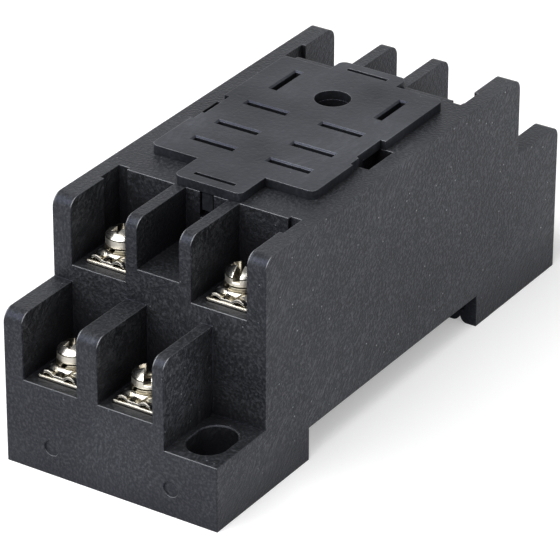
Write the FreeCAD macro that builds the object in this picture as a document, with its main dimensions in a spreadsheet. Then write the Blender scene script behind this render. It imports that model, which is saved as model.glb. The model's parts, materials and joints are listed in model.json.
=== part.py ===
import FreeCAD, Part
import math
import os

import Sketcher
from FreeCAD import Placement, Rotation, Vector

# Relay socket with two stepped tiers of screw terminals at each end.
# Frame: origin under the middle of the body, +Z up, +Y from front to rear, +X to the right.
# All lengths are millimetres and all angles degrees.

SIZES = {
    # Body
    "body_length": 72.0,
    "body_width": 27.6,
    "body_height": 28.6,
    "lower_wall_height": 18.7,
    "tier_depth": 9.4,
    "outer_wall": 2.4,
    "cell_width": 7.15,
    "upper_partition": 1.5,
    "lower_partition": 2.7,
    "bay_partition": 1.4,
    "lower_lip_height": 10.8,
    "upper_lip_height": 20.7,
    "middle_floor_height": 22.7,
    "bay_floor_height": 7.9,
    "wall_round": 1.5,
    "strip_rise": 0.4,
    "lip_wall": 1.3,
    # Moulded grooves behind the upper compartments
    "groove_width": 1.4,
    "groove_length": 3.6,
    "groove_inset": 0.5,
    # Mounting slots
    "mount_slot_width": 4.7,
    "mount_slot_length": 6.4,
    "mount_slot_edge": 3.75,
    "mount_chamfer": 0.12,
    # Ejector pin marks on the end faces
    "pin_mark_width": 1.9,
    "pin_mark_depth": 0.15,
    "pin_mark_height": 3.4,
    # Rail recess and its fixed hook
    "rail_width": 35.0,
    "rail_play": 0.9,
    "rail_recess_height": 4.05,
    "rail_flange": 1.0,
    "hook_reach": 1.0,
    "hook_ramp": 1.6,
    # Rail latch
    "side_rib": 2.1,
    "rib_round": 0.9,
    "latch_play": 0.1,
    "latch_lift": 0.1,
    "latch_length": 6.3,
    "latch_tongue": 0.5,
    "latch_lower_height": 1.8,
    "latch_upper_height": 1.6,
    "latch_travel": 3.0,
    "latch_nose_reach": 1.6,
    "latch_tab_width": 8.0,
    "latch_tab_height": 2.0,
    "latch_tab_inset": 0.2,
    "latch_pry_slot": 2.4,
    "latch_post_width": 2.6,
    "latch_post_length": 1.4,
    "latch_post_setback": 2.5,
    "spring_pocket_offset": 3.0,
    "spring_pocket_width": 3.2,
    "spring_pocket_height": 3.2,
    "spring_wire": 0.4,
    "spring_radius": 1.1,
    "spring_length": 9.2,
    "spring_turns": 4.5,
    # Relay plate
    "plate_width": 21.4,
    "plate_front": 12.4,
    "plate_rear": 14.7,
    "plate_thickness": 1.1,
    "plate_round": 0.9,
    "tab_width": 8.8,
    "tab_reach": 17.15,
    "notch_depth": 0.7,
    "notch_front": 2.75,
    "notch_rear": 2.3,
    "notch_lead_depth": 0.35,
    "notch_lead_length": 1.8,
    "clip_slot_length": 5.3,
    "clip_slot_width": 0.55,
    "clip_slot_place": 15.6,
    "clip_slot_depth": 3.0,
    "plate_hole_width": 4.2,
    "plate_hole_place": 8.2,
    "plate_hole_depth": 8.0,
    "plate_chamfer": 0.2,
    # Blade slots: three rows of two across the plate and one pair along it
    "blade_slot_length": 5.3,
    "blade_slot_width": 0.8,
    "blade_column": 4.95,
    "coil_column": 7.0,
    "front_row": -8.45,
    "middle_row": -3.7,
    "rear_row": 2.15,
    "coil_row": 9.3,
    # Snap legs of the relay plate
    "side_leg_thickness": 0.6,
    "side_leg_length": 4.6,
    "side_leg_width": 1.4,
    "side_nose": 0.45,
    "side_nose_height": 1.1,
    "side_window_outer": 11.65,
    "side_window_depth": 6.6,
    "side_window_play": 0.1,
    "end_leg_width": 1.4,
    "end_leg_thickness": 0.6,
    "end_leg_length": 2.2,
    "end_window_width": 1.8,
    "end_window_height": 3.1,
    "end_window_depth": 1.0,
    # Terminal strips
    "strip_width": 5.2,
    "strip_thickness": 0.8,
    "strip_play": 0.1,
    "tongue_width": 1.8,
    "collar_width": 3.9,
    "collar_height": 1.0,
    "well_play": 0.2,
    "well_depth": 3.8,
    # Terminal screws and what they clamp
    "screw_place": 4.7,
    "screw_shank": 2.45,
    "screw_length": 5.0,
    "screw_fit": 0.1,
    "screw_lift": 2.25,
    "head_width": 4.2,
    "head_side": 1.05,
    "head_dome": 1.0,
    "drive_width": 0.75,
    "drive_depth": 1.15,
    "cross_length": 2.5,
    "washer_width": 4.1,
    "washer_hole": 2.65,
    "washer_thickness": 0.6,
    "washer_gap": 0.5,
    "clamp_width": 4.5,
    "clamp_length": 6.4,
    "clamp_thickness": 0.35,
    "clamp_arch": 0.45,
    "clamp_flat": 1.3,
    "clamp_hole": 2.8,
    # Contacts under the blade slots
    "contact_width": 4.2,
    "contact_sheet": 0.4,
    "contact_base": 2.3,
    "contact_throat": 0.44,
    "contact_mouth": 1.3,
    "contact_shoulder": 2.0,
    "contact_pinch": 4.6,
    "contact_height": 6.8,
    "contact_tail": 0.6,
    "chamber_play": 0.35,
}


class Length:
    # A number together with the sheet expression that gives it.
    def __init__(self, value, text):
        self.value = value
        self.text = text

    def join(self, other, sign, value):
        other_text = other.text if isinstance(other, Length) else f"({other})"
        return Length(value, f"({self.text} {sign} {other_text})")

    def __add__(self, other):
        return self.join(other, "+", self.value + number(other))

    def __sub__(self, other):
        return self.join(other, "-", self.value - number(other))

    def __mul__(self, other):
        return self.join(other, "*", self.value * number(other))

    def __truediv__(self, other):
        return self.join(other, "/", self.value / number(other))

    def __neg__(self):
        return self * -1


def number(size):
    return size.value if isinstance(size, Length) else float(size)


def zero():
    return Length(0.0, "0")


doc = FreeCAD.newDocument("relay_socket")
sheet = doc.addObject("Spreadsheet::Sheet", "Sizes")
for row, (alias, value) in enumerate(SIZES.items(), start=1):
    sheet.set(f"A{row}", alias)
    sheet.set(f"B{row}", str(value))
    sheet.setAlias(f"B{row}", alias)
doc.recompute()
size = {alias: Length(value, f"Sizes.{alias}") for alias, value in SIZES.items()}


def bind(thing, target, length):
    if isinstance(length, Length):
        thing.setExpression(target, length.text)
    else:
        setattr(thing, target, length)


# Sketch helpers

def new_body(label):
    body = doc.addObject("PartDesign::Body", label)
    body.Label = label
    return body


def sketch_on(body, plane_role, offset=0):
    sketch = body.newObject("Sketcher::SketchObject", "Sketch")
    plane = next(item for item in body.Origin.OriginFeatures if item.Role == plane_role)
    sketch.AttachmentSupport = [(plane, "")]
    sketch.MapMode = "FlatFace"
    if isinstance(offset, Length):
        sketch.setExpression("AttachmentOffset.Base.z", offset.text)
    return sketch


def fix(sketch, kind, geometry, point, length):
    held = Sketcher.Constraint(kind, -1, 1, geometry, point, number(length))
    index = sketch.addConstraint(held)
    if isinstance(length, Length):
        sketch.setExpression(f"Constraints[{index}]", length.text)


def outline(sketch, corners):
    # Closed outline of straight edges through the corners, each an (x, y) pair.
    first = sketch.GeometryCount
    points = [Vector(number(x), number(y), 0) for x, y in corners]
    count = len(points)
    edges = [Part.LineSegment(points[i], points[(i + 1) % count]) for i in range(count)]
    sketch.addGeometry(edges, False)
    joined = [
        Sketcher.Constraint("Coincident", first + i, 2, first + (i + 1) % count, 1)
        for i in range(count)
    ]
    sketch.addConstraint(joined)
    for i, (x, y) in enumerate(corners):
        fix(sketch, "DistanceX", first + i, 1, x)
        fix(sketch, "DistanceY", first + i, 1, y)


def rectangle(sketch, x_low, y_low, x_high, y_high):
    outline(sketch, [(x_low, y_low), (x_high, y_low), (x_high, y_high), (x_low, y_high)])


def both_ends(sketch, x_low, y_low, x_high, y_high):
    # A rectangle and its copy turned half round about the vertical axis.
    rectangle(sketch, x_low, y_low, x_high, y_high)
    rectangle(sketch, -x_high, -y_high, -x_low, -y_low)


def circle(sketch, x, y, diameter):
    centre = Vector(number(x), number(y), 0)
    ring = sketch.addGeometry(Part.Circle(centre, Vector(0, 0, 1), number(diameter) / 2), False)
    fix(sketch, "DistanceX", ring, 3, x)
    fix(sketch, "DistanceY", ring, 3, y)
    held = sketch.addConstraint(Sketcher.Constraint("Diameter", ring, number(diameter)))
    if isinstance(diameter, Length):
        sketch.setExpression(f"Constraints[{held}]", diameter.text)


def facets(radius, sides):
    # Corners of the regular outline that stands for a small turned form.
    turns = [2 * math.pi * i / sides for i in range(sides)]
    return [(radius * round(math.cos(a), 6), radius * round(math.sin(a), 6)) for a in turns]


def long_hole(sketch, x, y, width, length):
    # Round-ended slot along Y: two half circles joined by straight sides.
    radius = width / 2
    reach = (length - width) / 2
    middle = Vector(number(x), number(y), 0)
    side = Vector(radius.value, 0, 0)
    ahead = Vector(0, reach.value, 0)
    edges = []
    for way, start in ((1, 0), (-1, math.pi)):
        ring = Part.Circle(middle + ahead * way, Vector(0, 0, 1), radius.value)
        edges.append(Part.ArcOfCircle(ring, start, start + math.pi))
        edges.append(Part.LineSegment(middle + (ahead - side) * way, middle + (-ahead - side) * way))
    first = sketch.GeometryCount
    sketch.addGeometry(edges, False)
    joined = [Sketcher.Constraint("Tangent", first + i, 2, first + (i + 1) % 4, 1) for i in range(4)]
    sketch.addConstraint(joined + [Sketcher.Constraint("Equal", first, first + 2)])
    for arc, y_centre in ((first, y + reach), (first + 2, y - reach)):
        fix(sketch, "DistanceX", arc, 3, x)
        fix(sketch, "DistanceY", arc, 3, y_centre)
    held = sketch.addConstraint(Sketcher.Constraint("Radius", first, radius.value))
    sketch.setExpression(f"Constraints[{held}]", radius.text)


def pad(body, sketch, length, backwards=False):
    feature = body.newObject("PartDesign::Pad", "Pad")
    feature.Profile = sketch
    feature.Reversed = backwards
    bind(feature, "Length", length)
    settle(body, feature, 1)
    return feature


def pocket(body, sketch, length, backwards=False):
    feature = body.newObject("PartDesign::Pocket", "Pocket")
    feature.Profile = sketch
    feature.Reversed = backwards
    bind(feature, "Length", length)
    settle(body, feature, -1)
    return feature


def settle(body, feature, direction):
    # A pad has to add material and a pocket has to take some away.
    before = feature.BaseFeature.Shape.Volume if feature.BaseFeature else 0.0
    doc.recompute()
    change = (feature.Shape.Volume - before) * direction
    if feature.Shape.isNull() or change <= 0:
        raise RuntimeError(f"{body.Label}: {feature.Name} changes nothing")


def edges_where(feature, test):
    names = []
    for index, edge in enumerate(feature.Shape.Edges, start=1):
        if test(edge):
            names.append(f"Edge{index}")
    return names


def dress(body, kind, base, names, target, length):
    feature = body.newObject(f"PartDesign::{kind}", kind)
    feature.Base = (base, names)
    bind(feature, target, length)
    settle(body, feature, -1)
    return feature


def near(a, b):
    return abs(a - number(b)) < 0.001


def runs_along(edge, axis):
    spans = (edge.BoundBox.XLength, edge.BoundBox.YLength, edge.BoundBox.ZLength)
    return all(span < 0.001 for i, span in enumerate(spans) if i != axis) and spans[axis] > 0.001


def place(thing, x, y, z, turn=0):
    spin = Rotation(Vector(0, 0, 1), turn)
    thing.Placement = Placement(Vector(number(x), number(y), number(z)), spin)
    for target, length in (("x", x), ("y", y), ("z", z)):
        if isinstance(length, Length):
            thing.setExpression(f"Placement.Base.{target}", length.text)


# Places shared by several pieces

half_width = size["body_width"] / 2
half_length = size["body_length"] / 2
upper_front = half_length - size["tier_depth"]
back_wall = upper_front - size["tier_depth"]
cell_outer = half_width - size["outer_wall"]
cell_inner = cell_outer - size["cell_width"]
outer_cell_middle = cell_outer - size["cell_width"] / 2
second_cell_left = size["lower_partition"] - cell_inner
second_cell_right = second_cell_left + size["cell_width"]
second_cell_middle = second_cell_left + size["cell_width"] / 2
bay_left = second_cell_right + size["bay_partition"]
bay_slot_x = half_width - size["mount_slot_edge"]
bay_slot_y = half_length - size["screw_place"]
recess_half = (size["rail_width"] + size["rail_play"]) / 2
strip_drop = size["strip_thickness"] - size["strip_rise"]
plate_top = size["body_height"] + size["plate_thickness"]
lower_strip_top = size["lower_lip_height"] + size["strip_rise"]
upper_strip_top = size["upper_lip_height"] + size["strip_rise"]
clearance = 1.0


# The eight terminals. Each has its compartment's middle, its tier, the end it is at
# (-1 front, 1 rear) and the blade slot that it serves. The rear ones are the front
# ones turned half round, apart from the blade slots.
class Terminal:
    def __init__(self, name, x, upper, end, contact, coil, angle):
        self.name = name
        self.x = x
        self.end = end
        self.upper = upper
        self.coil = coil
        self.drive_angle = angle
        self.contact_x, self.contact_y = contact
        self.strip_top = upper_strip_top if upper else lower_strip_top
        face = upper_front if upper else half_length
        self.y = (face - size["screw_place"]) * end
        self.face = face
        self.tongue_x = tongue_middle(self)


def tongue_middle(terminal):
    # The tongue lies where the screw plate and the contact overlap, against the plate's inner side.
    side = 1 if terminal.contact_x.value > 0 else -1
    if terminal.coil:
        return terminal.contact_x
    inner_edge = (size["strip_width"] - size["tongue_width"]) / 2
    towards = 1 if terminal.contact_x.value > terminal.x.value else -1
    return terminal.x + inner_edge * towards


column = size["blade_column"]
coil_column = size["coil_column"]
front_row = size["front_row"]
middle_row = size["middle_row"]
rear_row = size["rear_row"]
coil_row = size["coil_row"]
TERMINALS = [
    Terminal("front_upper_left", -outer_cell_middle, True, -1, (-column, front_row), False, 62),
    Terminal("front_upper_right", outer_cell_middle, True, -1, (column, front_row), False, 116),
    Terminal("front_lower_left", -outer_cell_middle, False, -1, (-column, middle_row), False, 38),
    Terminal("front_lower_right", second_cell_middle, False, -1, (column, middle_row), False, 124),
    Terminal("rear_upper_left", -outer_cell_middle, True, 1, (-coil_column, coil_row), True, 20),
    Terminal("rear_upper_right", outer_cell_middle, True, 1, (coil_column, coil_row), True, 75),
    Terminal("rear_lower_left", -second_cell_middle, False, 1, (-column, rear_row), False, 150),
    Terminal("rear_lower_right", outer_cell_middle, False, 1, (column, rear_row), False, 5),
]


# Housing

def housing():
    body = new_body("housing")
    cut_stepped_block(body)
    cut_compartments(body)
    cut_strip_seats(body)
    cut_contact_chambers(body)
    cut_plate_seats(body)
    cut_mounting_slots(body)
    cut_latch_way(body)
    mark_ejector_pins(body)
    return body


def cut_stepped_block(body):
    # Side profile: two tiers at each end and the rail recess underneath.
    profile = sketch_on(body, "YZ_Plane", -half_width)
    recess_top = size["rail_recess_height"]
    outline(profile, [
        (-half_length, zero()), (-recess_half, zero()), (-recess_half, recess_top),
        (recess_half, recess_top), (recess_half, zero()), (half_length, zero()),
        (half_length, size["lower_wall_height"]), (upper_front, size["lower_wall_height"]),
        (upper_front, size["body_height"]), (-upper_front, size["body_height"]),
        (-upper_front, size["lower_wall_height"]), (-half_length, size["lower_wall_height"]),
    ])
    block = pad(body, profile, size["body_width"])

    def top_corner(edge):
        if not runs_along(edge, 0):
            return False
        middle = edge.BoundBox.Center
        lower = near(abs(middle.y), half_length) and near(middle.z, size["lower_wall_height"])
        upper = near(abs(middle.y), upper_front) and near(middle.z, size["body_height"])
        return lower or upper

    dress(body, "Fillet", block, edges_where(block, top_corner), "Radius", size["wall_round"])
    # Fixed hook that catches the rail's front flange, with a ramp to guide it on.
    hook = sketch_on(body, "YZ_Plane", size["side_rib"] - half_width)
    catch_top = recess_top - size["rail_flange"] - size["latch_lift"]
    outline(hook, [
        (-recess_half, zero() + size["latch_lift"]),
        (size["hook_reach"] - recess_half, size["hook_ramp"]),
        (size["hook_reach"] - recess_half, catch_top),
        (-recess_half, catch_top),
    ])
    pad(body, hook, size["body_width"] - size["side_rib"] * 2)


def cut_compartments(body):
    front = half_length + clearance
    lower = sketch_on(body, "XY_Plane", size["lower_wall_height"])
    both_ends(lower, -cell_outer, -front, -cell_inner, -upper_front)
    both_ends(lower, second_cell_left, -front, second_cell_right, -upper_front)
    pocket(body, lower, size["lower_wall_height"] - size["lower_lip_height"])
    bay = sketch_on(body, "XY_Plane", size["lower_wall_height"])
    both_ends(bay, bay_left, -front, half_width + clearance, -upper_front)
    pocket(body, bay, size["lower_wall_height"] - size["bay_floor_height"])
    top = size["body_height"]
    step = upper_front + clearance
    upper = sketch_on(body, "XY_Plane", top)
    both_ends(upper, -cell_outer, -step, -cell_inner, -back_wall)
    both_ends(upper, cell_inner, -step, cell_outer, -back_wall)
    pocket(body, upper, top - size["upper_lip_height"])
    spare_half = cell_inner - size["upper_partition"]
    spare = sketch_on(body, "XY_Plane", top)
    both_ends(spare, -spare_half, -step, spare_half, -back_wall)
    pocket(body, spare, top - size["middle_floor_height"])
    # Upright grooves in the outer back corners of the upper compartments.
    groove = sketch_on(body, "XY_Plane", top)
    groove_outer = cell_outer + size["groove_inset"]
    groove_inner = groove_outer - size["groove_width"]
    groove_rear = back_wall - size["groove_inset"]
    groove_front = groove_rear + size["groove_length"]
    both_ends(groove, -groove_outer, -groove_front, -groove_inner, -groove_rear)
    both_ends(groove, groove_inner, -groove_front, groove_outer, -groove_rear)
    pocket(body, groove, top - size["upper_lip_height"])


def cut_strip_seats(body):
    # Each strip is sunk half its thickness behind the front ledge, and its tongue runs inwards through a tunnel.
    half_seat = size["strip_width"] / 2 + size["strip_play"]
    half_tunnel = size["tongue_width"] / 2 + size["strip_play"]
    for upper in (False, True):
        lip = size["upper_lip_height"] if upper else size["lower_lip_height"]
        wall = back_wall if upper else upper_front
        tier = [terminal for terminal in TERMINALS if terminal.upper == upper]
        seat = sketch_on(body, "XY_Plane", lip)
        for terminal in tier:
            outer = (terminal.face - size["lip_wall"]) * terminal.end
            inner = wall * terminal.end
            ordered = (outer, inner) if terminal.end < 0 else (inner, outer)
            rectangle(seat, terminal.x - half_seat, ordered[0], terminal.x + half_seat, ordered[1])
        pocket(body, seat, strip_drop)
        well = sketch_on(body, "XY_Plane", lip - strip_drop)
        half_well = size["collar_width"] / 2 + size["well_play"]
        for terminal in tier:
            rectangle(well, terminal.x - half_well, terminal.y - half_well,
                      terminal.x + half_well, terminal.y + half_well)
        pocket(body, well, size["well_depth"] - size["strip_thickness"])
        for terminal in tier:
            start = wall * terminal.end
            reach = (start - terminal.contact_y) * terminal.end
            tunnel = sketch_on(body, "XZ_Plane", -start)
            floor = lip - strip_drop
            rectangle(tunnel, terminal.tongue_x - half_tunnel, floor,
                      terminal.tongue_x + half_tunnel, lip + size["strip_rise"] + size["strip_play"])
            pocket(body, tunnel, reach + size["tongue_width"] / 2 + size["strip_play"],
                   terminal.end > 0)


def cut_contact_chambers(body):
    # A chamber under each blade slot, and a shaft down to the strip for the lower terminals.
    half_wide = size["contact_width"] / 2 + size["chamber_play"]
    half_deep = size["contact_base"] / 2 + size["chamber_play"]
    chamber = sketch_on(body, "XY_Plane", size["body_height"])
    for terminal in TERMINALS:
        across, along = (half_deep, half_wide) if terminal.coil else (half_wide, half_deep)
        rectangle(chamber, terminal.contact_x - across, terminal.contact_y - along,
                  terminal.contact_x + across, terminal.contact_y + along)
    pocket(body, chamber, size["body_height"] - upper_strip_top)
    shaft = sketch_on(body, "XY_Plane", upper_strip_top)
    half_tail = size["tongue_width"] / 2 + size["strip_play"]
    half_sheet = size["contact_tail"] / 2 + size["strip_play"]
    for terminal in TERMINALS:
        if not terminal.upper:
            rectangle(shaft, terminal.tongue_x - half_tail, terminal.contact_y - half_sheet,
                      terminal.tongue_x + half_tail, terminal.contact_y + half_sheet)
    pocket(body, shaft, upper_strip_top - lower_strip_top)


def cut_plate_seats(body):
    top = size["body_height"]
    # Notches under the end tabs for the end legs, and slots for the hold-down clips.
    notch = sketch_on(body, "XY_Plane", top)
    half_window = size["end_window_width"] / 2
    both_ends(notch, -half_window, -back_wall - clearance, half_window,
              size["end_window_depth"] - back_wall)
    pocket(body, notch, size["end_window_height"])
    clip = sketch_on(body, "XY_Plane", top)
    half_clip = size["clip_slot_length"] / 2
    clip_near = size["clip_slot_place"] - size["clip_slot_width"] / 2
    clip_far = size["clip_slot_place"] + size["clip_slot_width"] / 2
    both_ends(clip, -half_clip, -clip_far, half_clip, -clip_near)
    pocket(body, clip, size["clip_slot_depth"])
    # Side windows, each with an undercut that the side leg's nose snaps into.
    window = sketch_on(body, "XY_Plane", top)
    inner = side_leg_inner() - size["side_window_play"]
    outer = size["side_window_outer"]
    for sign in (-1, 1):
        ends = (inner * sign, outer * sign) if sign > 0 else (outer * sign, inner * sign)
        rectangle(window, ends[0], -size["notch_front"], ends[1], size["notch_rear"])
    pocket(body, window, size["side_window_depth"])
    leg_foot = top - size["side_leg_length"]
    for sign in (-1, 1):
        undercut = sketch_on(body, "XY_Plane", leg_foot + size["side_nose_height"] + size["side_window_play"])
        near_side = (inner + size["side_window_play"]) * sign
        far_side = (inner - size["side_nose"]) * sign
        ends = (near_side, far_side) if sign < 0 else (far_side, near_side)
        rectangle(undercut, ends[0], -size["notch_front"], ends[1], size["side_leg_width"] - size["notch_front"])
        pocket(body, undercut, size["side_nose_height"] + size["side_window_play"] * 2)
    hole = sketch_on(body, "XY_Plane", top)
    circle(hole, zero(), size["plate_hole_place"], size["plate_hole_width"])
    pocket(body, hole, size["plate_hole_depth"])


def cut_mounting_slots(body):
    floor = size["bay_floor_height"]
    slot = sketch_on(body, "XY_Plane", floor)
    for sign in (-1, 1):
        long_hole(slot, bay_slot_x * sign, bay_slot_y * -sign, size["mount_slot_width"], size["mount_slot_length"])
    cut = pocket(body, slot, floor + clearance)
    reach = size["mount_slot_length"].value / 2 + 0.01

    def rim(edge):
        box = edge.BoundBox
        if not (near(box.ZMin, floor) and near(box.ZMax, floor)):
            return False
        return any(
            abs(box.Center.x - sign * bay_slot_x.value) < reach
            and abs(box.Center.y + sign * bay_slot_y.value) < reach
            and max(box.XLength, box.YLength) < size["mount_slot_length"].value
            for sign in (-1, 1)
        )

    dress(body, "Chamfer", cut, edges_where(cut, rim), "Size", size["mount_chamfer"])


def latch_half():
    return half_width - size["side_rib"] - size["latch_play"]


def latch_spring_start():
    return recess_half + size["latch_post_setback"] + size["latch_post_length"]


def cut_latch_way(body):
    # Undercut way for the latch between the side ribs, open to the recess.
    way = sketch_on(body, "XZ_Plane", -recess_half)
    low = latch_half() + size["latch_play"]
    high = low + size["latch_tongue"]
    shoulder = size["latch_lower_height"]
    ceiling = shoulder + size["latch_upper_height"] + size["latch_play"] + size["latch_lift"]
    outline(way, [
        (-low, zero() - clearance), (low, zero() - clearance), (low, shoulder), (high, shoulder),
        (high, ceiling), (-high, ceiling), (-high, shoulder), (-low, shoulder),
    ])
    way_length = size["latch_length"] + size["latch_travel"] + size["latch_play"]
    cut = pocket(body, way, way_length)

    def rib_corner(edge):
        middle = edge.BoundBox.Center
        at_rib = near(abs(middle.x), low) and near(middle.z, 0)
        return runs_along(edge, 1) and at_rib and middle.y > recess_half.value

    dress(body, "Fillet", cut, edges_where(cut, rib_corner), "Radius", size["rib_round"])
    tab = sketch_on(body, "XY_Plane")
    half_tab = size["latch_tab_width"] / 2 + size["latch_play"]
    rectangle(tab, -half_tab, recess_half, half_tab, half_length + clearance)
    pocket(body, tab, size["latch_tab_height"] + size["latch_lift"] + size["latch_play"], True)
    # Pocket over the latch for its post and return spring.
    spring = sketch_on(body, "XY_Plane", ceiling)
    middle = size["spring_pocket_offset"]
    half_pocket = size["spring_pocket_width"] / 2
    rectangle(spring, middle - half_pocket, recess_half + size["latch_post_setback"] - size["latch_play"],
              middle + half_pocket, latch_spring_start() + size["spring_length"])
    pocket(body, spring, size["spring_pocket_height"], True)


def mark_ejector_pins(body):
    for sign in (-1, 1):
        mark = sketch_on(body, "XZ_Plane", half_length * -sign)
        for x in (-outer_cell_middle, outer_cell_middle):
            circle(mark, x, size["pin_mark_height"], size["pin_mark_width"])
        pocket(body, mark, size["pin_mark_depth"], sign > 0)


# Relay plate

def side_leg_inner():
    return size["plate_width"] / 2 - size["notch_depth"] - size["side_leg_thickness"]


def relay_plate():
    body = new_body("relay_plate")
    blank = sketch_on(body, "XY_Plane", size["body_height"])
    side = size["plate_width"] / 2
    tab = size["tab_width"] / 2
    front = -size["plate_front"]
    rear = size["plate_rear"]
    reach = size["tab_reach"]
    notch = side - size["notch_depth"]
    lead = side - size["notch_lead_depth"]
    notch_front = -size["notch_front"]
    notch_rear = size["notch_rear"]
    lead_front = notch_front - size["notch_lead_length"]
    right = [
        (tab, -reach), (tab, front), (side, front), (side, lead_front), (lead, lead_front),
        (lead, notch_front), (notch, notch_front), (notch, notch_rear), (side, notch_rear),
        (side, rear), (tab, rear), (tab, reach),
    ]
    left = [(-x, y) for x, y in reversed(right)]
    outline(blank, right + left)
    sheet_pad = pad(body, blank, size["plate_thickness"])

    def outer_corner(edge):
        if not runs_along(edge, 2):
            return False
        middle = edge.BoundBox.Center
        at_side = near(abs(middle.x), side) and (near(middle.y, front) or near(middle.y, rear))
        at_tab = near(abs(middle.x), tab) and near(abs(middle.y), reach)
        return at_side or at_tab

    dress(body, "Fillet", sheet_pad, edges_where(sheet_pad, outer_corner), "Radius", size["plate_round"])
    cut_blade_slots(body)
    add_snap_legs(body)
    return body


def cut_blade_slots(body):
    top = plate_top
    slots = sketch_on(body, "XY_Plane", top)
    half_slot = size["blade_slot_length"] / 2
    half_gap = size["blade_slot_width"] / 2
    for terminal in TERMINALS:
        across, along = (half_gap, half_slot) if terminal.coil else (half_slot, half_gap)
        rectangle(slots, terminal.contact_x - across, terminal.contact_y - along,
                  terminal.contact_x + across, terminal.contact_y + along)
    circle(slots, zero(), size["plate_hole_place"], size["plate_hole_width"])
    cut = pocket(body, slots, size["plate_thickness"])

    def slot_rim(edge):
        box = edge.BoundBox
        inside = abs(box.Center.x) < size["coil_column"].value + 1 and abs(box.Center.y) < size["plate_front"].value
        small = max(box.XLength, box.YLength) < size["blade_slot_length"].value + 0.01
        straight = min(box.XLength, box.YLength) < 0.01
        return inside and small and straight and near(box.ZMin, top) and near(box.ZMax, top)

    dress(body, "Chamfer", cut, edges_where(cut, slot_rim), "Size", size["plate_chamfer"])
    clips = sketch_on(body, "XY_Plane", top)
    half_clip = size["clip_slot_length"] / 2
    clip_near = size["clip_slot_place"] - size["clip_slot_width"] / 2
    clip_far = size["clip_slot_place"] + size["clip_slot_width"] / 2
    both_ends(clips, -half_clip, -clip_far, half_clip, -clip_near)
    pocket(body, clips, size["plate_thickness"])


def add_snap_legs(body):
    foot = size["body_height"] - size["side_leg_length"]
    inner = side_leg_inner()
    thickness = size["side_leg_thickness"]
    start = -size["notch_front"] + size["side_window_play"]
    end = start + size["side_leg_width"] - size["side_window_play"] * 2
    for sign in (-1, 1):
        # Side leg with its nose, drawn from the rear and drawn out along Y.
        leg = sketch_on(body, "XZ_Plane", -end)
        profile = [
            (inner, size["body_height"]), (inner, foot + size["side_nose_height"]),
            (inner - size["side_nose"], foot + size["side_nose_height"]),
            (inner, foot), (inner + thickness, foot), (inner + thickness, size["body_height"]),
        ]
        outline(leg, [(x * sign, z) for x, z in profile])
        pad(body, leg, end - start)
    legs = sketch_on(body, "XY_Plane", size["body_height"])
    half_leg = size["end_leg_width"] / 2
    far = size["tab_reach"] - size["side_window_play"]
    both_ends(legs, -half_leg, -far, half_leg, size["end_leg_thickness"] - far)
    pad(body, legs, size["end_leg_length"], True)


# Rail latch and its spring

def rail_latch():
    body = new_body("rail_latch")
    half = latch_half()
    bottom = size["latch_lift"]
    shoulder = size["latch_lower_height"] + size["latch_play"]
    top = size["latch_lower_height"] + size["latch_upper_height"] + size["latch_lift"]
    slide_profile = sketch_on(body, "XZ_Plane", -recess_half - size["latch_length"])
    wide = half + size["latch_tongue"]
    outline(slide_profile, [
        (-half, bottom), (half, bottom), (half, shoulder), (wide, shoulder),
        (wide, top), (-wide, top), (-wide, shoulder), (-half, shoulder),
    ])
    slide = pad(body, slide_profile, size["latch_length"])

    def lower_side(edge):
        middle = edge.BoundBox.Center
        return runs_along(edge, 1) and near(abs(middle.x), half) and near(middle.z, bottom)

    dress(body, "Fillet", slide, edges_where(slide, lower_side), "Radius", size["rib_round"])
    # Nose with a ramp below, so that the rail pushes the latch back as it snaps on.
    nose = sketch_on(body, "YZ_Plane", size["latch_tongue"] - half)
    catch_top = size["rail_recess_height"] - size["rail_flange"] - size["latch_lift"]
    ramp_top = catch_top - size["rail_flange"]
    outline(nose, [
        (recess_half, bottom + size["rib_round"]), (recess_half, catch_top),
        (recess_half - size["latch_nose_reach"], catch_top),
        (recess_half - size["latch_nose_reach"], ramp_top),
    ])
    pad(body, nose, (half - size["latch_tongue"]) * 2)
    # Pull tab that ends just inside the rear face, with a slot for a screwdriver.
    tab = sketch_on(body, "XY_Plane", bottom)
    half_tab = size["latch_tab_width"] / 2
    tab_end = half_length - size["latch_tab_inset"]
    rectangle(tab, -half_tab, recess_half + size["latch_length"], half_tab, tab_end)
    pad(body, tab, size["latch_tab_height"])
    pry = sketch_on(body, "XY_Plane", bottom)
    half_pry = size["latch_pry_slot"]
    rectangle(pry, -half_pry, tab_end - size["latch_pry_slot"], half_pry, tab_end - size["latch_tab_height"] / 2)
    pocket(body, pry, size["latch_tab_height"], True)
    post = sketch_on(body, "XY_Plane", top)
    middle = size["spring_pocket_offset"]
    half_post = size["latch_post_width"] / 2
    rectangle(post, middle - half_post, recess_half + size["latch_post_setback"],
              middle + half_post, latch_spring_start())
    pad(body, post, size["latch_post_width"])
    return body


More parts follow.
